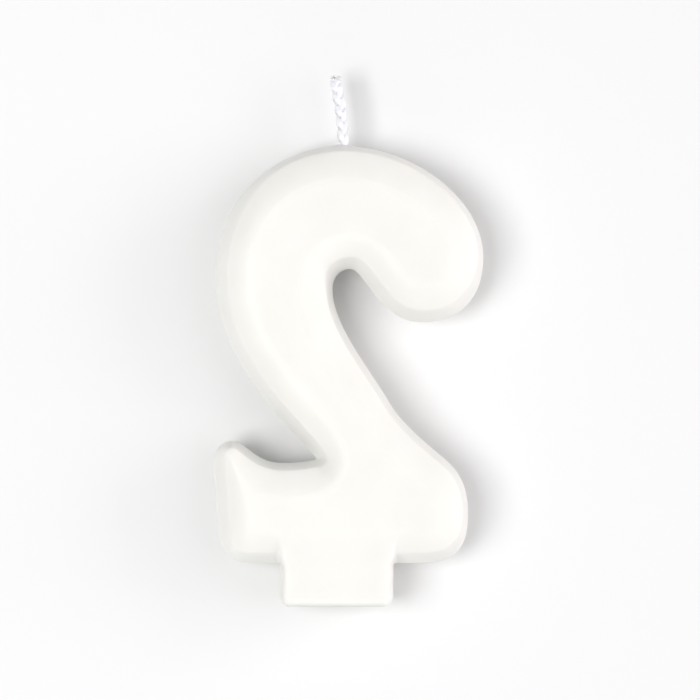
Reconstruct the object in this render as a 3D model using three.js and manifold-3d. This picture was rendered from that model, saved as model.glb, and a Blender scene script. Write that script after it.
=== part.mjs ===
// Number birthday candle, the figure "2": one wax casting with a stub below it that goes
// into the cake, and a primed cotton wick, flat-plaited from three bundles of yarn, that
// follows the stroke of the figure inside the wax and stands free above the arch.
//
// Frame: millimetres. The candle lies on its back: +Z out of its front face, +Y up the
// figure towards the wick, +X to its right. The origin is the middle of the stub's end face,
// and the parting plane of the mould, halfway through the candle, is z = 0.

import * as THREE from 'three';
import { mergeVertices } from 'three/addons/utils/BufferGeometryUtils.js';
import Module from 'manifold-3d';

const wasm = await Module();
wasm.setup();

// ---------------------------------------------------------------- driving dimensions

const NUMERAL_HEIGHT = 67.9;     // underside of the foot to the top of the arch
const NUMERAL_WIDTH = 43.8;      // left end of the foot to the right of the arch
const NUMERAL_THICKNESS = 13;    // front face to back face
const ARCH_STROKE = 19.9;        // top of the arch down to the slot
const BACK_STROKE = 18.9;        // left side of the arch across to the slot
const HOOK_DROP = 28.6;          // top of the arch down to the hook's underside
const FOOT_STROKE = 16;          // underside of the foot up to its scooped top
const FOOT_LIP = 3.85;           // rise of the lip at the foot's left end

const WALL_LEAN = 1.8;           // how far the side wall leans in from the parting line
const WALL_RISE = 4.5;           // height of that wall on each side of the parting line
const BEVEL_RUN = 3.8;           // width of the curved bevel between wall and face
const BEVEL_START = 42;          // its slope where it leaves the wall, degrees
const BEVEL_END = 12;            // its slope where it meets the flat face, degrees
const BEVEL_STEPS = 3;

const STUB_WIDTH = 18.3;
const STUB_HEIGHT = 7.1;
const STUB_STEP = 1;             // the stub's faces lie this far behind those of the figure
const STUB_EDGE = 1;             // chamfer round the stub's end and along its corners
const STUB_CENTRE = 20;          // left end of the foot to the stub's middle

const STRAND_DIAMETER = 0.58;    // one bundle of cotton yarn
const WICK_FREE_LENGTH = 11.4;   // height of the wick's tip over the arch
const WICK_CLEARANCE = 0.3;      // wick to the wall of its channel
const CHANNEL_END = 0.8;         // channel beyond the wick's blind end

const RAMP_STEP = 0.05;          // step left where the stub's ramp ends below the face
const OUTLINE_STEP = 1.5;        // spacing of points along the outline
const STRAND_SIDES = 6;
const STEPS_PER_PITCH = 9;       // steps of a strand for each swing of the plait
const CHANNEL_SIDES = 12;
const CHANNEL_STEPS = 60;

// ---------------------------------------------------------------- derived sizes

const BASE = STUB_HEIGHT;
const TOP = BASE + NUMERAL_HEIGHT;
const LEFT = -STUB_CENTRE;
const RIGHT = LEFT + NUMERAL_WIDTH;
const ARCH_LEFT = LEFT + 0.3;
const ARCH_PEAK = ARCH_LEFT + 20.6;
const FACE_INSET = WALL_LEAN + BEVEL_RUN;
const STUB_THICKNESS = NUMERAL_THICKNESS - 2 * STUB_STEP;

// In a flat plait of three the strands lie against each other, so its size follows theirs.
const PLAIT_SWING = 1.28 * STRAND_DIAMETER;
const PLAIT_DEPTH = 0.8 * STRAND_DIAMETER;
const PLAIT_PITCH = 10.4 * STRAND_DIAMETER;
const STRANDS = 3;

// ---------------------------------------------------------------- solids

/** A closed geometry with its shared vertices merged, as a manifold solid. */
function solid(geometry) {
  const bare = geometry.index ? geometry.toNonIndexed() : geometry.clone();
  bare.deleteAttribute('normal');
  bare.deleteAttribute('uv');
  const merged = mergeVertices(bare, 1e-5);
  return new wasm.Manifold(new wasm.Mesh({
    numProp: 3,
    vertProperties: Float32Array.from(merged.attributes.position.array),
    triVerts: Uint32Array.from(merged.index.array),
  }));
}

/** A manifold solid as a three.js geometry. */
function geometryOf(manifold) {
  const mesh = manifold.getMesh();
  const geometry = new THREE.BufferGeometry();
  geometry.setAttribute('position', new THREE.BufferAttribute(mesh.vertProperties, 3));
  geometry.setIndex(new THREE.BufferAttribute(mesh.triVerts, 1));
  const flat = geometry.toNonIndexed();
  flat.computeVertexNormals();
  return flat;
}

/** A named mesh with its own material. */
function piece(name, geometry, color, roughness) {
  const material = new THREE.MeshStandardMaterial({ color, roughness, metalness: 0 });
  const mesh = new THREE.Mesh(geometry, material);
  mesh.name = name;
  return mesh;
}

// ---------------------------------------------------------------- outline of the figure

/**
 * The knots of the outline at the parting line, clockwise from the notch over the foot.
 * Each has its place, the heading of the path in degrees (0 is +X, 90 is +Y; two values
 * where the path turns sharply), and its pull on the stretch before and after it, as a
 * share of that stretch's chord.
 */
function outlineKnots() {
  return [
    { x: LEFT + 16.9, y: BASE + FOOT_STROKE + 0.7, heading: [18, 129], pull: [0.43, 0.26] },
    { x: ARCH_LEFT, y: TOP - 20.8, heading: [90, 90], pull: [0.42, 0.45] },
    { x: ARCH_PEAK, y: TOP, heading: [0, 0], pull: [0.34, 0.41] },
    { x: RIGHT, y: TOP - 18, heading: [-90, -90], pull: [0.31, 0.43] },
    { x: RIGHT - 9.9, y: TOP - HOOK_DROP, heading: [180, 180], pull: [0.46, 0.48] },
    { x: ARCH_LEFT + BACK_STROKE + 3, y: TOP - ARCH_STROKE, heading: [180, 180], pull: [0.17, 0.38] },
    { x: ARCH_LEFT + BACK_STROKE, y: TOP - ARCH_STROKE - 3.3, heading: [-90, -90], pull: [0.43, 0.29] },
    { x: RIGHT - 15.4, y: BASE + FOOT_STROKE + 10.2, heading: [-60, -60], pull: [0.31, 0.31] },
    { x: RIGHT - 6.5, y: BASE + FOOT_STROKE + 1.1, heading: [-40, -40], pull: [0.31, 0.33] },
    { x: RIGHT - 2.5, y: BASE + FOOT_STROKE / 2, heading: [-90, -90], pull: [0.47, 0.44] },
    { x: RIGHT - 10.3, y: BASE, heading: [180, 180], pull: [0.58, 0.18] },
    { x: LEFT + 5.5, y: BASE, heading: [180, 180], pull: [0.18, 0.4] },
    { x: LEFT + 0.7, y: BASE + 5.9, heading: [90, 93], pull: [0.45, 0.36] },
    { x: LEFT, y: BASE + FOOT_STROKE + FOOT_LIP - 2.95, heading: [90, 90], pull: [0.27, 0.39] },
    { x: LEFT + 3.2, y: BASE + FOOT_STROKE + FOOT_LIP, heading: [0, 0], pull: [0.39, 0.24] },
    { x: LEFT + 11.4, y: BASE + FOOT_STROKE, heading: [0, 0], pull: [0.44, 0.43] },
  ];
}

/** The outline as evenly spaced points, one Bezier stretch between each two knots. */
function outlinePoints(step) {
  const knots = outlineKnots();
  return knots.flatMap((knot, i) => {
    const next = knots[(i + 1) % knots.length];
    const from = new THREE.Vector2(knot.x, knot.y);
    const to = new THREE.Vector2(next.x, next.y);
    const chord = from.distanceTo(to);
    const leave = THREE.MathUtils.degToRad(knot.heading[1]);
    const arrive = THREE.MathUtils.degToRad(next.heading[0]);
    const out = new THREE.Vector2(Math.cos(leave), Math.sin(leave));
    const back = new THREE.Vector2(-Math.cos(arrive), -Math.sin(arrive));
    const curve = new THREE.CubicBezierCurve(
      from,
      from.clone().addScaledVector(out, knot.pull[1] * chord),
      to.clone().addScaledVector(back, next.pull[0] * chord),
      to,
    );
    const points = curve.getSpacedPoints(Math.max(3, Math.ceil(curve.getLength() / step)));
    return points.slice(0, -1);
  });
}

/** Distance from a point to a closed line of points. */
function distanceTo(line, point) {
  const segment = new THREE.Line3();
  const flat = new THREE.Vector3(point.x, point.y, 0);
  const nearest = new THREE.Vector3();
  return line.reduce((least, a, i) => {
    const b = line[(i + 1) % line.length];
    segment.start.set(a.x, a.y, 0);
    segment.end.set(b.x, b.y, 0);
    segment.closestPointToPoint(flat, true, nearest);
    return Math.min(least, nearest.distanceTo(flat));
  }, Infinity);
}

/** Points along a closed line, evenly spaced about step apart. */
function respaced(line, step) {
  const closed = [...line, line[0]];
  const path = new THREE.CurvePath();
  closed.slice(1).forEach((point, i) => path.add(new THREE.LineCurve(closed[i], point)));
  const count = Math.round(path.getLength() / step);
  return path.getSpacedPoints(count).slice(0, count);
}

/**
 * The line that lies at one depth inside the outline. Each point moves in square to the
 * outline, turning about the notch, and points that end up nearer to another stretch go.
 */
function insetOutline(outline, depth) {
  const count = outline.length;
  const inward = (a, b) => new THREE.Vector2(b.y - a.y, a.x - b.x).normalize();
  const moved = outline.flatMap((point, i) => {
    const before = inward(outline[(i + count - 1) % count], point);
    const after = inward(point, outline[(i + 1) % count]);
    const fan = Math.ceil(before.angleTo(after) / 0.25);
    return Array.from({ length: fan + 1 }, (_, k) => {
      const way = before.clone().lerp(after, (k + 1) / (fan + 2)).normalize();
      return point.clone().addScaledVector(way, depth);
    });
  });
  return moved.filter((point) => distanceTo(outline, point) > depth - 0.02);
}

// ---------------------------------------------------------------- wax casting

/** Depth in from the outline and height over the parting plane, ring by ring. */
function sectionRings() {
  const slope = (i) => THREE.MathUtils.degToRad(
    BEVEL_START + (BEVEL_END - BEVEL_START) * (i / BEVEL_STEPS));
  const run = Math.sin(slope(0)) - Math.sin(slope(BEVEL_STEPS));
  const rise = Math.cos(slope(BEVEL_STEPS)) - Math.cos(slope(0));
  const room = NUMERAL_THICKNESS / 2 - WALL_RISE;
  const rings = [{ depth: 0, height: 0 }];
  for (let i = 0; i <= BEVEL_STEPS; i += 1) {
    rings.push({
      depth: WALL_LEAN + BEVEL_RUN * (Math.sin(slope(0)) - Math.sin(slope(i))) / run,
      height: WALL_RISE + room * (Math.cos(slope(i)) - Math.cos(slope(0))) / rise,
    });
  }
  return rings;
}

/** Triangles of the band between two closed lines that run the same way round. */
function bandTriangles(outer, inner) {
  const start = inner.reduce((best, point, i) => (
    point.distanceTo(outer[0]) < inner[best].distanceTo(outer[0]) ? i : best), 0);
  const onOuter = (i) => outer[i % outer.length];
  const onInner = (j) => inner[(j + start) % inner.length];
  const triangles = [];
  let i = 0;
  let j = 0;
  while (i < outer.length || j < inner.length) {
    const outerWay = onOuter(i + 1).distanceTo(onInner(j));
    const innerWay = onOuter(i).distanceTo(onInner(j + 1));
    if (j === inner.length || (i < outer.length && outerWay <= innerWay)) {
      triangles.push([onOuter(i), onInner(j), onOuter(i + 1)]);
      i += 1;
    } else {
      triangles.push([onOuter(i), onInner(j), onInner(j + 1)]);
      j += 1;
    }
  }
  return triangles;
}

/** Triangles that fill a closed line, turning the same way as those of a band. */
function faceTriangles(line) {
  const turn = ([a, b, c]) => (b.x - a.x) * (c.y - a.y) - (b.y - a.y) * (c.x - a.x);
  const flat = line.map((point) => new THREE.Vector2(point.x, point.y));
  return THREE.ShapeUtils.triangulateShape(flat, []).map((corners) => {
    const triangle = corners.map((corner) => line[corner]);
    return turn(triangle) > 0 ? triangle : triangle.reverse();
  });
}

/** The figure without its stub: both faces flat, bevelled all round, wall leaning in. */
function numeralSolid() {
  const fine = outlinePoints(OUTLINE_STEP / 3);
  const rings = sectionRings().map(({ depth, height }) => {
    const line = depth === 0 ? outlinePoints(OUTLINE_STEP)
      : respaced(insetOutline(fine, depth), OUTLINE_STEP);
    return line.map((point) => new THREE.Vector3(point.x, point.y, height));
  });
  const bands = rings.slice(1).flatMap((inner, i) => bandTriangles(rings[i], inner));
  const front = [...bands, ...faceTriangles(rings.at(-1))];
  const back = front.map((triangle) => [...triangle].reverse().map(
    (point) => new THREE.Vector3(point.x, point.y, -point.z)));
  const geometry = new THREE.BufferGeometry().setFromPoints([...front, ...back].flat());
  return solid(geometry);
}

/**
 * The stub, which runs on up the front and back of the foot as a ramp that ends where the
 * foot's bevel does. Its side view is drawn once and carried across its width.
 */
function stubSolid() {
  const half = STUB_THICKNESS / 2;
  const rampTop = BASE + FACE_INSET;
  const rampHalf = NUMERAL_THICKNESS / 2 - RAMP_STEP;
  const side = new THREE.Shape([
    new THREE.Vector2(0, -(half - STUB_EDGE)),
    new THREE.Vector2(0, half - STUB_EDGE),
    new THREE.Vector2(STUB_EDGE, half),
    new THREE.Vector2(BASE, half),
    new THREE.Vector2(rampTop, rampHalf),
    new THREE.Vector2(rampTop, -rampHalf),
    new THREE.Vector2(BASE, -half),
    new THREE.Vector2(STUB_EDGE, -half),
  ]);
  const geometry = new THREE.ExtrudeGeometry(side, {
    depth: STUB_WIDTH - 2 * STUB_EDGE,
    bevelThickness: STUB_EDGE,
    bevelSize: STUB_EDGE,
    bevelOffset: -STUB_EDGE,
    bevelSegments: 1,
  });
  // Drawn with its length along X and its thickness along Y, and carried along Z.
  const inPlace = new THREE.Matrix4().makeBasis(
    new THREE.Vector3(0, 1, 0),
    new THREE.Vector3(0, 0, 1),
    new THREE.Vector3(1, 0, 0),
  );
  geometry.translate(0, 0, -(STUB_WIDTH - 2 * STUB_EDGE) / 2);
  geometry.applyMatrix4(inPlace);
  return solid(geometry);
}

// ---------------------------------------------------------------- wick

/**
 * Where the wick runs, from its blind end in the foot to its free tip: up the middle of the
 * diagonal and the back stroke, over under the arch, out at its peak, then leaning left.
 */
const wickRoute = new THREE.CatmullRomCurve3([
  new THREE.Vector3(RIGHT - 16.4, BASE + 8.3, 0),
  new THREE.Vector3(RIGHT - 17.6, BASE + 15.9, 0),
  new THREE.Vector3(RIGHT - 21.4, BASE + 22.5, 0),
  new THREE.Vector3(ARCH_LEFT + 16.5, (BASE + TOP) / 2 - 4.6, 0),
  new THREE.Vector3(ARCH_LEFT + 11.9, TOP - 31.6, 0),
  new THREE.Vector3(ARCH_LEFT + 9.6, TOP - 23.4, 0),
  new THREE.Vector3(ARCH_LEFT + 10.9, TOP - 15.8, 0),
  new THREE.Vector3(ARCH_PEAK - 5.3, TOP - 10.4, 0),
  new THREE.Vector3(ARCH_PEAK - 1.5, TOP - 5.6, 0),
  new THREE.Vector3(ARCH_PEAK, TOP, 0),
  new THREE.Vector3(ARCH_PEAK - 0.1, TOP + 0.39 * WICK_FREE_LENGTH, 0),
  new THREE.Vector3(ARCH_PEAK - 0.6, TOP + 0.7 * WICK_FREE_LENGTH, 0),
  new THREE.Vector3(ARCH_PEAK - 1.3, TOP + WICK_FREE_LENGTH, 0),
], false, 'centripetal');

/** A regular polygon round the origin, stretched to two half-widths. */
function ovalShape(halfDepth, halfWidth, sides) {
  const corners = Array.from({ length: sides }, (_, i) => {
    const turn = (2 * Math.PI * i) / sides;
    return new THREE.Vector2(halfDepth * Math.cos(turn), halfWidth * Math.sin(turn));
  });
  return new THREE.Shape(corners);
}

/** One strand of the plait: it swings from side to side once while going over, under, over. */
class StrandCurve extends THREE.Curve {
  constructor(phase) {
    super();
    this.phase = phase;
    this.turns = wickRoute.getLength() / PLAIT_PITCH;
  }

  getPoint(t, target = new THREE.Vector3()) {
    const along = wickRoute.getTangentAt(t);
    const sideways = new THREE.Vector3(0, 0, 1).cross(along);
    const turn = 2 * Math.PI * this.turns * t + this.phase;
    target.copy(wickRoute.getPointAt(t));
    target.addScaledVector(sideways, PLAIT_SWING * Math.sin(turn));
    target.z += PLAIT_DEPTH * Math.sin(2 * turn);
    return target;
  }
}

/** A strand as a closed tube along its curve. */
function strandGeometry(index) {
  const curve = new StrandCurve((2 * Math.PI * index) / STRANDS);
  const section = ovalShape(STRAND_DIAMETER / 2, STRAND_DIAMETER / 2, STRAND_SIDES);
  const steps = Math.round(STEPS_PER_PITCH * curve.turns);
  return new THREE.ExtrudeGeometry(section, { steps, extrudePath: curve, bevelEnabled: false });
}

/** The room that the wick takes up in the wax, open at the top of the arch. */
function channelSolid() {
  const start = wickRoute.getPointAt(0).addScaledVector(wickRoute.getTangentAt(0), -CHANNEL_END);
  const path = new THREE.CatmullRomCurve3([start, ...wickRoute.getSpacedPoints(CHANNEL_STEPS)]);
  const section = ovalShape(
    PLAIT_DEPTH + STRAND_DIAMETER / 2 + WICK_CLEARANCE,
    PLAIT_SWING + STRAND_DIAMETER / 2 + WICK_CLEARANCE,
    CHANNEL_SIDES,
  );
  return solid(new THREE.ExtrudeGeometry(section, {
    steps: CHANNEL_STEPS,
    extrudePath: path,
    bevelEnabled: false,
  }));
}

// ---------------------------------------------------------------- assembly

const candle = new THREE.Group();

const wax = numeralSolid().add(stubSolid()).subtract(channelSolid());
candle.add(piece('wax_numeral', geometryOf(wax), '#f6f3ec', 0.45));

for (let i = 0; i < STRANDS; i += 1) {
  candle.add(piece(`wick_strand_${i + 1}`, strandGeometry(i), '#f1f1f0', 0.85));
}

export default candle;
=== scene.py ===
import math

import bpy
import numpy as np
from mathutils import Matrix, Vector
from mathutils.geometry import delaunay_2d_cdt


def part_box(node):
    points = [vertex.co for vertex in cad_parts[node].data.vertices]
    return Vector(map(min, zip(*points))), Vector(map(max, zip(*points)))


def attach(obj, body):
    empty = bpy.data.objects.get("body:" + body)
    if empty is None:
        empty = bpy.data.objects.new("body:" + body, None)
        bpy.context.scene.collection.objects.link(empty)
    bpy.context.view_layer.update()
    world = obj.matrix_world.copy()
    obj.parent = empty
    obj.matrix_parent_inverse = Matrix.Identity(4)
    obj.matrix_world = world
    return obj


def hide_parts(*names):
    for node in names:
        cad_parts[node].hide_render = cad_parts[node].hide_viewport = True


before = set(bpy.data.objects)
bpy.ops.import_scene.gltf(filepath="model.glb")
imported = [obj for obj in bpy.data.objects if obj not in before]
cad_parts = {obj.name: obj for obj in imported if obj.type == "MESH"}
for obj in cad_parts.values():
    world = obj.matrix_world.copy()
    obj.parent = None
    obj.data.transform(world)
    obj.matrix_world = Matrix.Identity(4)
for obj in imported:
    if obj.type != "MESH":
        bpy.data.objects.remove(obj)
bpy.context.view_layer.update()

# ---------------------------------------------------------------- wax figure and stub
# The body of the candle: a figure 2 with the stub that is pushed into the cake, poured in one
# piece of white paraffin wax in a two-part mould. The mould leaves a faint seam halfway up the
# side, a wall that leans in, a rounded bevel and a broad, nearly flat face on each side.

MM = 0.001

wax_low, wax_high = (np.array(corner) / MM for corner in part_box("wax_numeral"))
LEFT, RIGHT = wax_low[0], wax_high[0]
FACE_HALF = wax_high[2]          # middle plane to the face
BASE = 7.1                       # underside of the foot, over the stub's end
TOP = BASE + 67.9
ARCH_LEFT = LEFT + 0.3
ARCH_PEAK = ARCH_LEFT + 20.6

WALL_LEAN = 1.8                  # how far the wall leans in from the seam
WALL_LEAN_STEEP = 1.0            # and where it faces up and to the right, as the mould draws
STEEP_FACING = 60                # that way, in degrees from +X
WALL_RISE = 4.5                  # height of the wall over the seam
WALL_ROUNDING = 1.25             # above 1, the wall stands upright at the seam
BEVEL_RUN = 3.8                  # how far in the bevel runs from the top of the wall
BEVEL_SLOPES = (42, 12)          # where the bevel leaves the wall and where it meets the face
FACE_DISH = 0.12                 # the face sinks this much as the wax cools
DISH_RUN = 2.6                   # and is down to that depth this far in from the bevel
CREASE = 0.05                    # depth of the fine line where the bevel meets the face
CREASE_WIDTH = 0.22
EDGE_SOFTNESS = 0.09             # wax keeps no edge sharper than this
SEAM_STEP = 0.22                 # the front half of the mould sat this far to the right
SEAM = 0.07                      # the mould's seam stands this proud
SEAM_REACH = 0.16                # over this much of the height
UNEVEN = 0.022                   # slow waves on the face, half their depth

STUB_HALF_WIDTH = 9.15
STUB_HALF = FACE_HALF - 1.0      # middle plane to the stub's face
STUB_LEAN = 0.35
STUB_RISE = 4.6
STUB_EDGE_RUN = 0.9              # the stub's edge is a small round in place of the bevel
STUB_SLOPES = (65, 4)
STUB_CORNER = (0.8, 1.2)         # cut across each corner at the stub's end

OUTLINE_POINTS = 960
ROOM_USED = 0.97                 # the rings stop this far towards the middle of a narrow place
CORNER_ROUNDING = 0.3            # how far hot wax rounds off a sharp corner
MOUND_HEIGHT = 0.45              # wax that crept up the wick
MOUND_RADIUS = 1.3
INSET_END = 7.2                  # the rings of the side reach this far in
MIDDLE_STEP = 1.1                # spacing of the points in the middle of the face
ROW_STEP = MIDDLE_STEP * 0.866   # rows of equal triangles lie closer than their points
MIDDLE_CLEAR = 0.45 * MIDDLE_STEP
BLOCK = 2000                     # places worked out at once, to save memory

WALL_STEPS = np.array([0, 0.03, 0.06, 0.12, 0.25, 0.4, 0.55, 0.7, 0.82, 0.9, 0.95, 1.0])
BEVEL_STEPS_IN = np.array([0.03, 0.08, 0.15, 0.25, 0.36, 0.48, 0.6, 0.72, 0.84, 0.92, 0.97, 1.0])
FACE_STEPS_IN = np.array([0.06, 0.14, 0.3, 0.6, 1.0])


def smooth_step(low, high, value):
    """0 up to low, 1 from high on, and an S-shaped cubic between them."""
    share = np.clip((value - low) / (high - low), 0, 1)
    return share * share * (3 - 2 * share)


def outline_knots():
    """
    The outline at the seam, clockwise from the notch over the foot. Each row is x, y, the
    heading in, the heading out (degrees, 0 is +X), and the pull in and out as a share of
    the chord to the knot before and the knot after.
    """
    cut_x, cut_y = STUB_CORNER
    slant = math.degrees(math.atan2(cut_y, cut_x))
    side = STUB_HALF_WIDTH
    straight = (1 / 3, 1 / 3)
    return np.array([
        (LEFT + 16.9, BASE + 16.85, 12, 129, 0.43, 0.26),
        (ARCH_LEFT, TOP - 20.8, 90, 90, 0.42, 0.45),
        (ARCH_PEAK, TOP, 0, 0, 0.34, 0.41),
        (RIGHT, TOP - 18, -90, -90, 0.31, 0.43),
        (RIGHT - 9.9, TOP - 28.6, 180, 180, 0.46, 0.48),
        (ARCH_LEFT + 21.9, TOP - 19.9, 180, 180, 0.17, 0.38),
        (ARCH_LEFT + 18.9, TOP - 23.2, -90, -90, 0.43, 0.29),
        (RIGHT - 15.4, BASE + 26.2, -60, -60, 0.31, 0.31),
        (RIGHT - 6.5, BASE + 17.1, -40, -40, 0.31, 0.33),
        (RIGHT - 2.5, BASE + 8, -90, -90, 0.47, 0.44),
        (RIGHT - 10.3, BASE, 180, 180, 0.58, 1 / 3),
        (side, BASE, 180, -90, *straight),
        (side, cut_y, -90, -180 + slant, *straight),
        (side - cut_x, 0, -180 + slant, 180, *straight),
        (-side + cut_x, 0, 180, 180 - slant, *straight),
        (-side, cut_y, 180 - slant, 90, *straight),
        (-side, BASE, 90, 180, *straight),
        (LEFT + 5.5, BASE, 180, 180, 1 / 3, 0.4),
        (LEFT + 0.7, BASE + 5.9, 90, 93, 0.45, 0.36),
        (LEFT, BASE + 16.9, 90, 90, 0.27, 0.39),
        (LEFT + 3.1, BASE + 19.85, 0, 0, 0.39, 0.2),
        (LEFT + 11, BASE + 16.2, 0, 0, 0.5, 0.43),
    ])


def outline(count):
    """
    Points on the closed outline and the unit normals into the wax. Between two knots runs a
    cubic Bezier: its inner control points lie along the headings, at the pulls times the
    chord. The closed line is then blurred along its length with a Gaussian, by damping its
    Fourier series, and the points are spaced closer in proportion to how fast it turns.
    """
    knots = outline_knots()
    after = np.roll(knots, -1, axis=0)
    chord = np.linalg.norm(after[:, :2] - knots[:, :2], axis=1)[:, None]
    leave, arrive = np.radians(knots[:, 3]), np.radians(after[:, 2])
    start, end = knots[:, :2], after[:, :2]
    pull_out, pull_in = knots[:, 5:6] * chord, after[:, 4:5] * chord
    first = start + pull_out * np.stack([np.cos(leave), np.sin(leave)], axis=1)
    second = end - pull_in * np.stack([np.cos(arrive), np.sin(arrive)], axis=1)
    t = np.linspace(0, 1, 300, endpoint=False)[None, :, None]
    curve = ((1 - t) ** 3 * start[:, None] + 3 * t * (1 - t) ** 2 * first[:, None]
             + 3 * t ** 2 * (1 - t) * second[:, None] + t ** 3 * end[:, None]).reshape(-1, 2)
    closed = np.vstack([curve, curve[:1]])
    length = np.concatenate([[0], np.cumsum(np.linalg.norm(np.diff(closed, axis=0), axis=1))])
    samples = 6000
    even = np.linspace(0, length[-1], samples, endpoint=False)
    line = np.stack([np.interp(even, length, closed[:, axis]) for axis in (0, 1)], axis=1)
    waves = np.fft.rfftfreq(samples, d=length[-1] / samples)
    damping = np.exp(-2 * (math.pi * waves * CORNER_ROUNDING) ** 2)[:, None]
    line = np.fft.irfft(np.fft.rfft(line, axis=0) * damping, n=samples, axis=0)
    ahead = np.roll(line, -1, axis=0) - np.roll(line, 1, axis=0)
    heading = np.unwrap(np.arctan2(ahead[:, 1], ahead[:, 0]))
    turning = np.abs(np.diff(np.append(heading, heading[0] - 2 * math.pi)))
    crowd_in_corners = 3.0
    weight = np.concatenate([[0], np.cumsum(length[-1] / samples + crowd_in_corners * turning)])
    wanted = np.linspace(0, weight[-1], count, endpoint=False)
    round_again = np.vstack([line, line[:1]])
    points = np.stack([np.interp(wanted, weight, round_again[:, axis]) for axis in (0, 1)], axis=1)
    angle = np.interp(wanted, weight, np.append(heading, heading[0] - 2 * math.pi))
    return points, np.stack([np.sin(angle), -np.cos(angle)], axis=1)


def room_inside(points, normals):
    """Radius of the largest circle in the outline that touches it at each point."""
    apart = points[None, :, :] - points[:, None, :]
    inward = np.einsum("ijk,ik->ij", apart, normals)
    square = np.sum(apart ** 2, axis=2)
    radius = np.where(inward > 1e-4, square / (2 * np.maximum(inward, 1e-4)), 1e3)
    np.fill_diagonal(radius, 1e3)
    return radius.min(axis=1)


def side_profile(lean, rise, run, slopes, half):
    """
    Height over the seam against depth in from the outline, as a table. The wall's depth goes
    as height to a power, the bevel is a circular arc between two slopes stretched to reach
    the face, and the whole is blurred a little, because wax keeps no sharp edge.
    """
    depth = np.arange(-2, 14, 0.01)
    wall = rise * np.clip(np.abs(depth) / lean, 0, 1) ** (1 / WALL_ROUNDING)
    first, last = (math.sin(math.radians(slope)) for slope in slopes)
    sine = first + (last - first) * np.clip((np.abs(depth) - lean) / run, 0, 1)
    arc = np.sqrt(1 - sine ** 2)
    arc = (arc - arc.min()) / (arc.max() - arc.min())
    height = np.sign(depth) * (wall + (half - rise) * arc)
    bell = np.exp(-0.5 * (np.arange(-40, 41) * 0.01 / EDGE_SOFTNESS) ** 2)
    soft = np.convolve(height, bell / bell.sum(), mode="same")
    near = smooth_step(0.1, 0.5, np.abs(depth))
    return depth, height + (soft - height) * near


BODY_PROFILE = side_profile(WALL_LEAN, WALL_RISE, BEVEL_RUN, BEVEL_SLOPES, FACE_HALF)
STUB_PROFILE = side_profile(STUB_LEAN, STUB_RISE, STUB_EDGE_RUN, STUB_SLOPES, STUB_HALF)


def on_stub(x, y):
    """1 on the stub and on the ramp that carries its face up into the foot, 0 elsewhere."""
    across = smooth_step(STUB_HALF_WIDTH + 0.9, STUB_HALF_WIDTH - 0.5, np.abs(x))
    return across * smooth_step(BASE + 7.4, BASE + 4.4, y)


def wall_lean(normals):
    """How far the wall leans in, from the unit normals into the wax."""
    steep = math.radians(STEEP_FACING)
    facing = -normals @ np.array([math.cos(steep), math.sin(steep)])
    return WALL_LEAN + (WALL_LEAN_STEEP - WALL_LEAN) * smooth_step(-0.2, 0.55, facing)


def face_height(x, y, depth, lean):
    """
    Height of the front over the seam at a place, from its depth in from the outline and the
    lean of the wall there: the body's profile, drawn out so that its wall is as wide as the
    lean, or the stub's, mixed where the ramp fades into the bevel, with the shallow dish
    and a slow unevenness of a few hundredths of a millimetre on the face.
    """
    inset = WALL_LEAN + BEVEL_RUN
    past_wall = WALL_LEAN + (depth - lean) * BEVEL_RUN / (inset - lean)
    past_wall = np.minimum(past_wall, np.maximum(depth, inset))
    drawn = np.where(depth < lean, depth * WALL_LEAN / lean, past_wall)
    body = np.interp(drawn, *BODY_PROFILE)
    body = body - FACE_DISH * smooth_step(inset, inset + DISH_RUN, depth)
    body = body - CREASE * np.exp(-((depth - inset) / CREASE_WIDTH) ** 2)
    ramp = (FACE_HALF - STUB_HALF) * smooth_step(BASE - 0.8, BASE + 6.4, y)
    stub = np.interp(depth, *STUB_PROFILE) + ramp * np.clip(depth / 1.2, 0, 1)
    share = on_stub(x, y)
    uneven = (np.sin(x * 0.47 + 1.3 * np.sin(y * 0.21)) * np.sin(y * 0.39 + 0.7)
              + 0.6 * np.sin(x * 0.91 - y * 0.63 + 2.1) - 1.6) * UNEVEN
    return body * (1 - share) + stub * share + uneven * smooth_step(1.5, 3.5, depth)


def softened(places, depth, points, spacing, lean):
    """
    The depth with the ridge lines taken off, and the lean of the nearby wall: near the
    outline the depth is the distance to it, and further in the power mean of the distances
    to all of the outline, which is the same by a straight side and runs smoothly over from
    one side to the next. The lean is averaged over the outline by the same power.
    """
    power = 8
    straight = math.sqrt(math.pi) * math.gamma((power - 1) / 2) / math.gamma(power / 2)
    mean = np.empty(len(places))
    near_lean = np.empty(len(places))
    for start in range(0, len(places), BLOCK):
        some = places[start:start + BLOCK]
        square = np.sum((some[:, None, :] - points[None, :, :]) ** 2, axis=2) + 1e-6
        pull = spacing[None, :] * square ** (-power / 2)
        total = np.sum(pull, axis=1)
        mean[start:start + BLOCK] = (straight / total) ** (1 / (power - 1))
        near_lean[start:start + BLOCK] = pull @ lean / total
    share = smooth_step(1.2, 2.6, depth)
    return depth * (1 - share) + mean * share, near_lean


def new_object(name, vertices, faces, smooth=True):
    """A mesh object from vertices in millimetres and faces, at the origin."""
    mesh = bpy.data.meshes.new(name)
    mesh.from_pydata((np.asarray(vertices) * MM).tolist(), [], faces)
    mesh.validate()
    mesh.polygons.foreach_set("use_smooth", np.full(len(mesh.polygons), smooth))
    mesh.update()
    made = bpy.data.objects.new(name, mesh)
    bpy.context.collection.objects.link(made)
    return made


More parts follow.
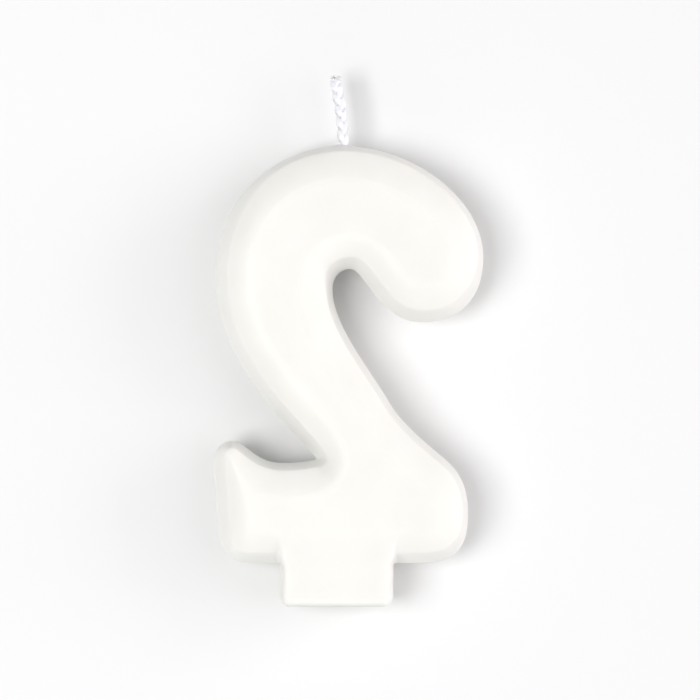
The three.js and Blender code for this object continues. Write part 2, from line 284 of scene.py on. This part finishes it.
def wax_mesh():
    """
    Vertices and faces of the wax. Ring j of the side holds the outline's points moved in
    square to it by depth j, held short of the middle where there is less room, at the
    height that the profile gives. A Delaunay net fills the middle, and the back mirrors
    the front and shares its ring at the seam.
    """
    points, normals = outline(OUTLINE_POINTS)
    room = ROOM_USED * room_inside(points, normals)[:, None]
    share = on_stub(points[:, 0], points[:, 1])[:, None]
    body_lean = wall_lean(normals)
    lean = body_lean[:, None] * (1 - share) + STUB_LEAN * share
    body_run = WALL_LEAN + BEVEL_RUN - body_lean[:, None]
    run = body_run * (1 - share) + STUB_EDGE_RUN * share
    wall = lean * WALL_STEPS[None, :] ** WALL_ROUNDING
    bevel = lean + run * BEVEL_STEPS_IN[None, :]
    face = lean + run + (INSET_END - lean - run) * FACE_STEPS_IN[None, :]
    depth = np.hstack([wall, bevel, face])
    depth = depth / (1 + (depth / room) ** 3) ** (1 / 3)
    ring_depth = depth.T
    seam = np.zeros(len(ring_depth))
    seam[:len(WALL_STEPS)] = SEAM * np.exp(-(WALL_STEPS * WALL_RISE / SEAM_REACH) ** 2)
    places = points[None] + normals[None] * (ring_depth - seam[:, None])[:, :, None]

    loop = places[-1]
    grid_x = np.arange(LEFT, RIGHT, MIDDLE_STEP)
    grid_y = np.arange(0, TOP, ROW_STEP)
    grid = np.stack(np.meshgrid(grid_x, grid_y), axis=2)
    grid[1::2, :, 0] += MIDDLE_STEP / 2
    grid = grid.reshape(-1, 2)
    after = np.roll(loop, -1, axis=0)
    crosses = (loop[:, 1] <= grid[:, 1:2]) != (after[:, 1] <= grid[:, 1:2])
    rise = np.where(crosses, after[:, 1] - loop[:, 1], 1)
    meets = loop[:, 0] + (grid[:, 1:2] - loop[:, 1]) * (after[:, 0] - loop[:, 0]) / rise
    within = np.sum(crosses & (meets > grid[:, :1]), axis=1) % 2 == 1
    grid = grid[within]
    to_loop = np.sqrt(((grid[:, None] - loop[None]) ** 2).sum(axis=2)).min(axis=1)
    grid = grid[to_loop > MIDDLE_CLEAR]
    grid_depth = np.sqrt(((grid[:, None] - points[None]) ** 2).sum(axis=2)).min(axis=1)

    flat = np.vstack([places.reshape(-1, 2), grid])
    deep = np.concatenate([ring_depth.reshape(-1), grid_depth])
    around = np.linalg.norm(np.roll(points, -1, axis=0) - np.roll(points, 1, axis=0), axis=1) / 2
    soft_depth, near_lean = softened(flat, deep, points, around, body_lean)
    height = face_height(flat[:, 0], flat[:, 1], soft_depth, near_lean)
    height[:OUTLINE_POINTS] = 0
    front = np.column_stack([flat, height])

    rings = len(ring_depth)
    start = (rings - 1) * OUTLINE_POINTS
    net = np.vstack([loop, grid])
    edges = [(i, (i + 1) % OUTLINE_POINTS) for i in range(OUTLINE_POINTS)]
    filled = delaunay_2d_cdt([Vector(spot) for spot in net], edges, [], 1, 1e-7)
    if len(filled[0]) != len(net):
        raise RuntimeError("the middle of the face made extra points")
    original = np.array([spots[0] for spots in filled[3]])
    middle = original[np.array(filled[2])] + start

    around_index = np.arange(OUTLINE_POINTS)
    next_index = np.roll(around_index, -1)
    ring_start = np.arange(rings - 1)[:, None] * OUTLINE_POINTS
    quads = np.stack([ring_start + around_index, ring_start + OUTLINE_POINTS + around_index,
                      ring_start + OUTLINE_POINTS + next_index, ring_start + next_index], axis=2)
    quads = quads.reshape(-1, 4)
    corner = front[middle]
    side_a, side_b = corner[:, 1] - corner[:, 0], corner[:, 2] - corner[:, 0]
    facing = side_a[:, 0] * side_b[:, 1] - side_a[:, 1] * side_b[:, 0]
    middle = np.where((facing > 0)[:, None], middle, middle[:, ::-1])

    back = front[OUTLINE_POINTS:] * (1, 1, -1)
    vertices = np.vstack([front, back])
    to_back = np.concatenate([around_index, len(front) + np.arange(len(back))])
    faces = (quads.tolist() + middle.tolist()
             + to_back[quads][:, ::-1].tolist() + to_back[middle][:, ::-1].tolist())

    # The two halves of the mould met a little out of line.
    halves = np.sign(vertices[:, 2]) * smooth_step(0.03, 0.2, np.abs(vertices[:, 2]))
    vertices[:, 0] += SEAM_STEP / 2 * halves * smooth_step(0, BASE, vertices[:, 1])

    # Wax has crept up the wick and left a small mound round it.
    off_wick = (vertices[:, 0] - ARCH_PEAK) ** 2 + vertices[:, 2] ** 2
    near_top = smooth_step(TOP - 3, TOP - 0.6, vertices[:, 1])
    vertices[:, 1] += MOUND_HEIGHT * np.exp(-off_wick / MOUND_RADIUS ** 2) * near_top
    return vertices, faces


def colour(hex_code):
    """An sRGB hex colour as linear red, green, blue and alpha."""
    parts = [int(hex_code[i:i + 2], 16) / 255 for i in (1, 3, 5)]
    return [part / 12.92 if part <= 0.04045 else ((part + 0.055) / 1.055) ** 2.4
            for part in parts] + [1.0]


def add_node(material, kind, settings=None, **inputs):
    """
    Adds a node. settings are its own properties. Each input is a value for its socket, or a
    (node, output name) pair that is linked to it; underscores in a name stand for spaces.
    """
    node = material.node_tree.nodes.new(kind)
    for name, value in (settings or {}).items():
        setattr(node, name, value)
    for name, value in inputs.items():
        wanted = name.replace("_", " ")
        socket = next(s for s in node.inputs if s.name == wanted and s.enabled)
        if isinstance(value, tuple) and isinstance(value[1], str):
            source = next(s for s in value[0].outputs if s.name == value[1] and s.enabled)
            material.node_tree.links.new(source, socket)
        else:
            socket.default_value = value
    return node


# Fully refined paraffin wax, poured: light goes a few millimetres in and comes out a little
# warmer, the skin has the dull shine of candle wax, and there is a faint bloom in patches.
def poured_wax():
    wax = bpy.data.materials.new("paraffin_wax_poured")
    wax.use_nodes = True
    wax.node_tree.nodes.clear()
    place = add_node(wax, "ShaderNodeTexCoord")
    cloud = add_node(wax, "ShaderNodeTexNoise", Vector=(place, "Object"), Scale=1 / (9 * MM),
                     Detail=3.0, Roughness=0.55)
    tint = add_node(wax, "ShaderNodeMix", {"data_type": "RGBA"}, Factor=(cloud, "Fac"),
                    A=colour("#E4E3DE"), B=colour("#EBEAE7"))
    bloom = add_node(wax, "ShaderNodeTexNoise", Vector=(place, "Object"), Scale=1 / (2.2 * MM),
                     Detail=5.0, Roughness=0.6)
    shine = add_node(wax, "ShaderNodeMapRange", Value=(bloom, "Fac"), From_Min=0.25,
                     From_Max=0.75, To_Min=0.4, To_Max=0.54)
    skin = add_node(wax, "ShaderNodeTexNoise", Vector=(place, "Object"), Scale=1 / (0.5 * MM),
                    Detail=2.0)
    ripple = add_node(wax, "ShaderNodeTexNoise", Vector=(place, "Object"), Scale=1 / (5 * MM),
                      Detail=2.0)
    fine = add_node(wax, "ShaderNodeBump", Strength=0.12, Distance=0.02 * MM,
                    Height=(skin, "Fac"))
    broad = add_node(wax, "ShaderNodeBump", Strength=0.5, Distance=0.06 * MM,
                     Height=(ripple, "Fac"), Normal=(fine, "Normal"))
    shader = add_node(wax, "ShaderNodeBsdfPrincipled", Base_Color=(tint, "Result"),
                      Roughness=(shine, "Result"), IOR=1.44, Metallic=0.0,
                      Subsurface_Weight=0.85, Subsurface_Radius=(1.0, 0.94, 0.9),
                      Subsurface_Scale=1.2 * MM, Subsurface_Anisotropy=0.3,
                      Normal=(broad, "Normal"))
    add_node(wax, "ShaderNodeOutputMaterial", Surface=(shader, "BSDF"))
    return wax


wax_figure = new_object("wax_figure", *wax_mesh())
wax_figure.data.materials.append(poured_wax())
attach(wax_figure, "root")
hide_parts("wax_numeral")

# ---------------------------------------------------------------- wick
# A flat plait of three strands of bleached cotton yarn, dipped in wax so that it stands up.
# It was laid in the mould before the wax was poured, so it runs on down through the figure.

STRAND_RADIUS = 0.29
STRANDS = 3
CUT_GREY_REACH = 0.35                  # the yarn is greyed in patches this far down from the cut
WAX_SOAKED = 1.2                 # the wax in a strand makes it this many times as thick
PLAIT_SWING = 1.1 * 2 * STRAND_RADIUS    # to each side
PLAIT_DEPTH = 0.6 * 2 * STRAND_RADIUS    # over and under
PLAIT_PITCH = 10.4 * 2 * STRAND_RADIUS   # length of one whole swing
WICK_FREE_LENGTH = 11.4
YARNS = 6                        # yarns that show round each strand
YARN_GROOVE = 0.06               # depth of the groove between two, as a share of the radius
YARN_PITCH = 2.6                 # length in which the yarns turn once round the strand
STRAND_RINGS = 620
STRAND_SIDES = 20
FIBRES = 12                      # loose fibre ends at each strand's cut

COAT_SOFTNESS = 0.14             # how far the skin of wax rounds out the hollows of the plait
COAT_BELOW = 1.2                 # it starts this far down in the figure
COAT_SHORT = 0.3                 # and stops this far short of the cut
COAT_SIDES = 36

WICK_KNOTS = np.array([
    (RIGHT - 16.4, BASE + 8.3),
    (RIGHT - 17.6, BASE + 15.9),
    (RIGHT - 21.4, BASE + 22.5),
    (ARCH_LEFT + 16.5, (BASE + TOP) / 2 - 4.6),
    (ARCH_LEFT + 11.9, TOP - 31.6),
    (ARCH_LEFT + 9.6, TOP - 23.4),
    (ARCH_LEFT + 10.9, TOP - 15.8),
    (ARCH_PEAK - 5.3, TOP - 10.4),
    (ARCH_PEAK - 1.5, TOP - 5.6),
    (ARCH_PEAK, TOP),
    (ARCH_PEAK - 0.1, TOP + 0.39 * WICK_FREE_LENGTH),
    (ARCH_PEAK - 0.6, TOP + 0.7 * WICK_FREE_LENGTH),
    (ARCH_PEAK - 1.3, TOP + WICK_FREE_LENGTH),
])


def wick_route(count):
    """
    Evenly spaced points along the wick, and its whole length: a centripetal Catmull-Rom
    curve through the knots, whose spans are weighted by the square root of their chord.
    """
    ends = np.vstack([2 * WICK_KNOTS[:1] - WICK_KNOTS[1:2], WICK_KNOTS,
                      2 * WICK_KNOTS[-1:] - WICK_KNOTS[-2:-1]])
    span = np.sqrt(np.linalg.norm(np.diff(ends, axis=0), axis=1))[:, None]
    before, start, end, after = ends[:-3], ends[1:-2], ends[2:-1], ends[3:]
    d0, d1, d2 = span[:-2], span[1:-1], span[2:]
    leave = ((start - before) / d0 - (end - before) / (d0 + d1) + (end - start) / d1) * d1
    arrive = ((end - start) / d1 - (after - start) / (d1 + d2) + (after - end) / d2) * d1
    t = np.linspace(0, 1, 80, endpoint=False)[None, :, None]
    curve = (start[:, None] * (2 * t ** 3 - 3 * t ** 2 + 1)
             + leave[:, None] * (t ** 3 - 2 * t ** 2 + t)
             + end[:, None] * (3 * t ** 2 - 2 * t ** 3)
             + arrive[:, None] * (t ** 3 - t ** 2))
    curve = np.vstack([curve.reshape(-1, 2), WICK_KNOTS[-1:]])
    length = np.concatenate([[0], np.cumsum(np.linalg.norm(np.diff(curve, axis=0), axis=1))])
    even = np.linspace(0, length[-1], count)
    line = np.stack([np.interp(even, length, curve[:, axis]) for axis in (0, 1)], axis=1)
    return line, length[-1]


def unit(vectors):
    """The vectors at length 1."""
    return vectors / np.linalg.norm(vectors, axis=-1, keepdims=True)


def tube(path, radius, turn_with=None):
    """
    A closed tube: at each point of the path a ring square to it, whose radius is given for
    each ring and each place round it, with a centre point closing both ends.
    """
    rings, sides = radius.shape
    along = unit(np.gradient(path, axis=0))
    rough = np.tile(turn_with if turn_with is not None else (0.0, 0.0, 1.0), (rings, 1))
    across = unit(np.cross(rough, along))
    over = np.cross(along, across)
    angle = np.linspace(0, 2 * math.pi, sides, endpoint=False)
    ring = (across[:, None] * np.cos(angle)[None, :, None]
            + over[:, None] * np.sin(angle)[None, :, None])
    skin = (path[:, None] + ring * radius[:, :, None]).reshape(-1, 3)
    bulge = 0.25 * radius.mean(axis=1)[[0, -1], None] * along[[0, -1]]
    caps = np.vstack([path[0] - bulge[0], path[-1] + bulge[1]])
    here = np.arange(sides)
    there = np.roll(here, -1)
    row = np.arange(rings - 1)[:, None] * sides
    quads = np.stack([row + here, row + there, row + sides + there, row + sides + here], axis=2)
    faces = quads.reshape(-1, 4).tolist()
    first, last = len(skin), len(skin) + 1
    top = (rings - 1) * sides
    faces += [[first, b, a] for a, b in zip(here.tolist(), there.tolist())]
    faces += [[last, top + a, top + b] for a, b in zip(here.tolist(), there.tolist())]
    return np.vstack([skin, caps]), faces


def plait(place):
    """
    How far each strand's centre is to the side and to the front at places along the wick.
    The strands follow one another at equal shares of the pitch: each swings once to each
    side while it goes over, under and over again.
    """
    turn = 2 * math.pi * (place[:, None] / PLAIT_PITCH + np.arange(STRANDS) / STRANDS)
    return PLAIT_SWING * np.sin(turn), PLAIT_DEPTH * np.sin(2 * turn)


def strand_mesh(index, random):
    """
    One strand, and the loose fibres at its cut. Its section has one shallow lobe for each
    yarn, and the lobes turn round it. Also returns how deep in a groove each vertex lies
    (1 on a lobe's crest, 0 at the bottom of a groove), which sets the painted shade that
    greys the grooves, and the distance from the cut at each vertex.
    """
    line, length = wick_route(STRAND_RINGS)
    path = np.column_stack([line, np.zeros(STRAND_RINGS)])
    along = unit(np.gradient(path, axis=0))
    sideways = np.cross((0.0, 0.0, 1.0), along)
    place = np.linspace(0, length, STRAND_RINGS)
    side, front = plait(place)
    path = path + sideways * side[:, index:index + 1]
    path[:, 2] += front[:, index]
    trim = STRAND_RINGS - int(random.integers(0, 3))
    path, place = path[:trim], place[:trim]
    angle = np.linspace(0, 2 * math.pi, STRAND_SIDES, endpoint=False)
    twist = 2 * math.pi * place[:, None] / YARN_PITCH
    lobes = np.abs(np.sin(0.5 * YARNS * (angle[None, :] - twist)))
    thick = 1 + 0.05 * np.sin(place * 1.9 + index) + 0.03 * np.sin(place * 5.3 + 2 * index)
    radius = WAX_SOAKED * STRAND_RADIUS * thick[:, None] * (1 - YARN_GROOVE + YARN_GROOVE * lobes)
    vertices, faces = tube(path, radius)
    # Painted shade: 0 deep in a groove and 1 on a lobe's crest, 1 on the caps and fibres; it greys
    # the yarn's colour in the grooves.
    groove_shade_values = np.concatenate([lobes.reshape(-1), [1.0, 1.0]])
    reach = np.concatenate([np.repeat(place, STRAND_SIDES), [0.0, place[-1]]])

    tip, out = path[-1], unit(path[-1] - path[-4])
    for _ in range(FIBRES):
        start = tip + random.uniform(-0.7, 0.7, 3) * STRAND_RADIUS * (1, 0, 1) - out * 0.15
        lean = unit(out + random.normal(0, 0.35, 3))
        steps = np.linspace(0, 1, 6)[:, None]
        curl = random.normal(0, 0.08, 3)
        fibre = start + lean * steps * random.uniform(0.25, 0.75) + curl * steps ** 2
        thin = np.tile(0.045 * (1 - 0.5 * steps), (1, 5))
        more, more_faces = tube(fibre, thin)
        faces += [[corner + len(vertices) for corner in face] for face in more_faces]
        vertices = np.vstack([vertices, more])
        groove_shade_values = np.concatenate([groove_shade_values, np.ones(len(more))])
        reach = np.concatenate([reach, np.full(len(more), place[-1])])
    return vertices, faces, groove_shade_values, length - reach


def coat_mesh():
    """
    The skin of wax over the wick's free end. Its radius in each direction is how far the
    strands reach that way: the soft maximum, the log of a sum of exponentials, of their
    centres' distances, plus a strand's radius. It thins out at the cut.
    """
    line, length = wick_route(STRAND_RINGS)
    place = np.linspace(0, length, STRAND_RINGS)
    end = length - COAT_SHORT
    free = (place > length - WICK_FREE_LENGTH - COAT_BELOW) & (place < end)
    path, place = np.column_stack([line, np.zeros(STRAND_RINGS)])[free], place[free]
    side, front = plait(place)
    angle = np.linspace(0, 2 * math.pi, COAT_SIDES, endpoint=False)[None, :, None]
    reach = side[:, None] * np.cos(angle) + front[:, None] * np.sin(angle)
    reach = COAT_SOFTNESS * np.log(np.sum(np.exp(reach / COAT_SOFTNESS), axis=2))
    thin = 1 - 0.3 * smooth_step(end - 0.7, end, place)
    return tube(path, (reach + WAX_SOAKED * STRAND_RADIUS) * thin[:, None])


# Bleached cotton yarn, plied, plaited and waxed: matt white threads, with painted shade
# greying the grooves between them, the wax filling the finest gaps and the cut end greyer in
# patches.
def waxed_cotton():
    cotton = bpy.data.materials.new("cotton_yarn_plaited_waxed")
    cotton.use_nodes = True
    cotton.node_tree.nodes.clear()
    place = add_node(cotton, "ShaderNodeTexCoord")
    groove = add_node(cotton, "ShaderNodeAttribute", {"attribute_name": "groove"})
    below_cut = add_node(cotton, "ShaderNodeAttribute", {"attribute_name": "below_cut"})
    # Painted shade: the yarn's colour is made greyer where a vertex lies deep in a groove of the
    # plait.
    yarn = add_node(cotton, "ShaderNodeMix", {"data_type": "RGBA"}, Factor=(groove, "Fac"),
                    A=colour("#E3E3EA"), B=colour("#EEEEF3"))
    patch = add_node(cotton, "ShaderNodeTexNoise", Vector=(place, "Object"), Scale=1 / (0.6 * MM),
                     Detail=3.0)
    # The yarn is made greyer in patches over the last few tenths of a millimetre down from the
    # cut.
    cut_grey = add_node(cotton, "ShaderNodeMapRange", Value=(below_cut, "Fac"), From_Min=0.0,
                    From_Max=CUT_GREY_REACH, To_Min=(patch, "Fac"), To_Max=0.0)
    tint = add_node(cotton, "ShaderNodeMix", {"data_type": "RGBA"}, Factor=(cut_grey, "Result"),
                    A=(yarn, "Result"), B=colour("#A8A6A4"))
    fibres = add_node(cotton, "ShaderNodeTexNoise", Vector=(place, "Object"),
                      Scale=1 / (0.12 * MM), Detail=3.0)
    bump = add_node(cotton, "ShaderNodeBump", Strength=0.5, Distance=0.03 * MM,
                    Height=(fibres, "Fac"))
    shader = add_node(cotton, "ShaderNodeBsdfPrincipled", Base_Color=(tint, "Result"),
                      Roughness=0.72, IOR=1.47, Metallic=0.0, Subsurface_Weight=0.9,
                      Subsurface_Radius=(1.0, 0.95, 0.95), Subsurface_Scale=0.8 * MM,
                      Normal=(bump, "Normal"))
    add_node(cotton, "ShaderNodeOutputMaterial", Surface=(shader, "BSDF"))
    return cotton


cotton = waxed_cotton()
random = np.random.default_rng(7)
for index in range(STRANDS):
    vertices, faces, groove_shade_values, below_cut = strand_mesh(index, random)
    strand = new_object(f"cotton_strand_{index + 1}", vertices, faces)
    for name, values in (("groove", groove_shade_values), ("below_cut", below_cut)):
        strand.data.attributes.new(name, "FLOAT", "POINT").data.foreach_set("value", values)
    strand.data.materials.append(cotton)
    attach(strand, "root")
    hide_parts(f"wick_strand_{index + 1}")


# The harder wax that the plait was dipped in: a thin skin, dull and a little uneven, through
# which the bleached cotton shows as a colder white than the figure's.
def dipped_wax():
    skin = bpy.data.materials.new("wick_wax_dipped")
    skin.use_nodes = True
    skin.node_tree.nodes.clear()
    place = add_node(skin, "ShaderNodeTexCoord")
    cloud = add_node(skin, "ShaderNodeTexNoise", Vector=(place, "Object"), Scale=1 / (1.1 * MM),
                     Detail=3.0)
    tint = add_node(skin, "ShaderNodeMix", {"data_type": "RGBA"}, Factor=(cloud, "Fac"),
                    A=colour("#E2E2E9"), B=colour("#EFEFF3"))
    shine = add_node(skin, "ShaderNodeMapRange", Value=(cloud, "Fac"), From_Min=0.25,
                     From_Max=0.75, To_Min=0.42, To_Max=0.6)
    fibres = add_node(skin, "ShaderNodeTexNoise", Vector=(place, "Object"),
                      Scale=1 / (0.25 * MM), Detail=3.0)
    bump = add_node(skin, "ShaderNodeBump", Strength=0.4, Distance=0.03 * MM,
                    Height=(fibres, "Fac"))
    shader = add_node(skin, "ShaderNodeBsdfPrincipled", Base_Color=(tint, "Result"),
                      Roughness=(shine, "Result"), IOR=1.44, Metallic=0.0,
                      Subsurface_Weight=0.8, Subsurface_Radius=(1.0, 0.97, 1.0),
                      Subsurface_Scale=0.4 * MM, Normal=(bump, "Normal"))
    add_node(skin, "ShaderNodeOutputMaterial", Surface=(shader, "BSDF"))
    return skin


wick_coat = new_object("wick_wax_coat", *coat_mesh())
wick_coat.data.materials.append(dipped_wax())
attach(wick_coat, "root")

# ---------------------------------------------------------------- floor, light and camera
# A sheet of matt white card under the candle, which lies on its back. The main soft light is
# on the left, a wider one fills from the right, and two weak ones stand low, to the right and
# at the foot, so that the walls are lit. An even white room is around them.

FLOOR_HALF = 1500.0
LOOK_AT = Vector((2.15, 41.8, 0.0)) * MM
CAMERA_DISTANCE = 600 * MM
FRAME_WIDTH = 114.2 * MM
SENSOR = 36.0
ROOM_STRENGTH = 0.39

floor_corners = [(x * FLOOR_HALF, y * FLOOR_HALF, -FACE_HALF)
                 for x, y in ((-1, -1), (1, -1), (1, 1), (-1, 1))]
floor = new_object("floor", floor_corners, [(0, 1, 2, 3)])
card = bpy.data.materials.new("card_matt_white")
card.use_nodes = True
card.node_tree.nodes.clear()
card_shader = add_node(card, "ShaderNodeBsdfPrincipled", Base_Color=colour("#E4E4E4"),
                       Roughness=0.9, Specular_IOR_Level=0.1)
add_node(card, "ShaderNodeOutputMaterial", Surface=(card_shader, "BSDF"))
floor.data.materials.append(card)


def soft_light(name, off_axis, heading, distance, size, power, tint):
    """A square light that faces the candle, off_axis degrees from straight above it."""
    light = bpy.data.lights.new(name, "AREA")
    light.shape = "SQUARE"
    light.size = size
    light.energy = power
    light.color = colour(tint)[:3]
    lamp = bpy.data.objects.new(name, light)
    lean, turn = math.radians(off_axis), math.radians(heading)
    toward = Vector((math.sin(lean) * math.cos(turn), math.sin(lean) * math.sin(turn),
                     math.cos(lean)))
    lamp.location = LOOK_AT + toward * distance
    lamp.rotation_euler = toward.to_track_quat("Z", "Y").to_euler()
    lamp.visible_camera = False
    bpy.context.collection.objects.link(lamp)
    return lamp


soft_light("soft_light_left", 27, 190, 0.9, 0.45, 5.4, "#FFFFFF")
soft_light("soft_light_right", 45, 3, 0.9, 0.8, 2.3, "#FFFFFF")
soft_light("low_light_right", 76, 10, 1.4, 1.0, 9.5, "#FFF9FC")
soft_light("low_light_foot", 65, 270, 1.4, 1.0, 2.7, "#FFFFFF")

room = bpy.data.worlds.new("white_room")
room.use_nodes = True
room.node_tree.nodes["Background"].inputs["Color"].default_value = colour("#FFFFFF")
room.node_tree.nodes["Background"].inputs["Strength"].default_value = ROOM_STRENGTH
bpy.context.scene.world = room
bpy.context.scene.view_settings.view_transform = "Standard"

camera_data = bpy.data.cameras.new("camera")
camera_data.sensor_width = SENSOR
camera_data.lens = SENSOR * CAMERA_DISTANCE / FRAME_WIDTH
camera_data.clip_start = 0.01
camera = bpy.data.objects.new("camera", camera_data)
camera.location = LOOK_AT + Vector((0, 0, CAMERA_DISTANCE))
bpy.context.collection.objects.link(camera)
bpy.context.scene.camera = camera
